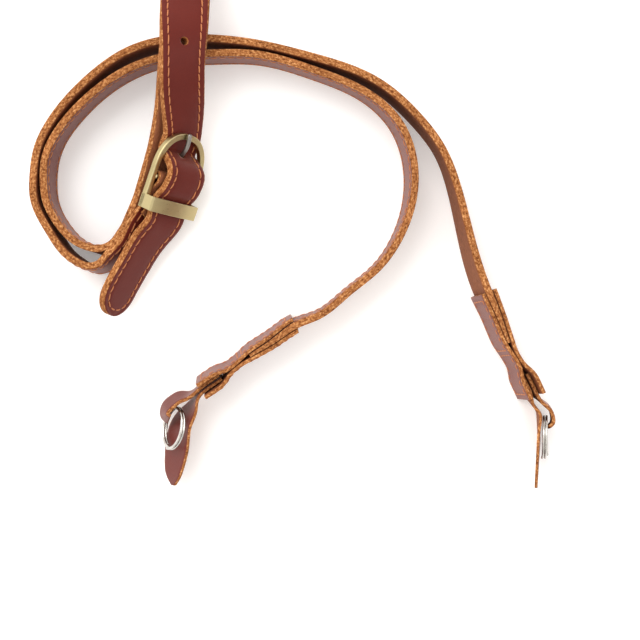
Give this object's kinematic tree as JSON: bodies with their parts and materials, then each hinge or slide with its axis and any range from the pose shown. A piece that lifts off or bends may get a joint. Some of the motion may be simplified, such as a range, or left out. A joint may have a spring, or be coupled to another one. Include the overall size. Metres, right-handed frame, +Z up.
{
  "type": "camera neck strap",
  "caption": "Leather neck strap laid in loops on its edge, its two halves joined by a stirrup buckle with keeper, with sandwich connectors, curled loops, petal guards and split rings.",
  "frame": {"origin": "centre of the bounding box's base, on the table", "axes": "+Y away from the viewer, toward the hairpin; +X to the viewer's right; +Z up from the table"},
  "size_m": [0.184, 0.2832, 0.0325],
  "materials": {
    "strap_tip_half": "smooth burgundy grain, brown flesh side, raw orange edges",
    "strap_buckle_half": "smooth burgundy grain, brown flesh side, raw orange edges",
    "left_cover_inner": "smooth burgundy grain, brown flesh side, raw orange edges",
    "left_cover_outer": "smooth burgundy grain, brown flesh side, raw orange edges",
    "right_cover_inner": "smooth burgundy grain, brown flesh side, raw orange edges",
    "right_cover_outer": "smooth burgundy grain, brown flesh side, raw orange edges",
    "left_ring_loop": "smooth burgundy grain, brown flesh side, raw orange edges",
    "right_ring_loop": "smooth burgundy grain, brown flesh side, raw orange edges",
    "left_guard": "smooth burgundy grain, brown flesh side, raw orange edges",
    "right_guard": "smooth burgundy grain, brown flesh side, raw orange edges",
    "buckle_frame": "antique brass, rubbed bright on its ridges",
    "buckle_prong": "grey pewter plate",
    "left_ring": "silver nickel plate",
    "right_ring": "silver nickel plate"
  },
  "bodies": {
    "root": {"strap_tip_half": "strap_tip_half", "strap_buckle_half": "strap_buckle_half", "left_cover_inner": "left_cover_inner", "left_cover_outer": "left_cover_outer", "right_cover_inner": "right_cover_inner", "right_cover_outer": "right_cover_outer", "left_ring_loop": "left_ring_loop", "right_ring_loop": "right_ring_loop", "left_guard": "left_guard", "right_guard": "right_guard", "buckle_frame": "buckle_frame", "buckle_prong": "buckle_prong", "left_ring": "left_ring", "right_ring": "right_ring"}
  },
  "joints": []
}
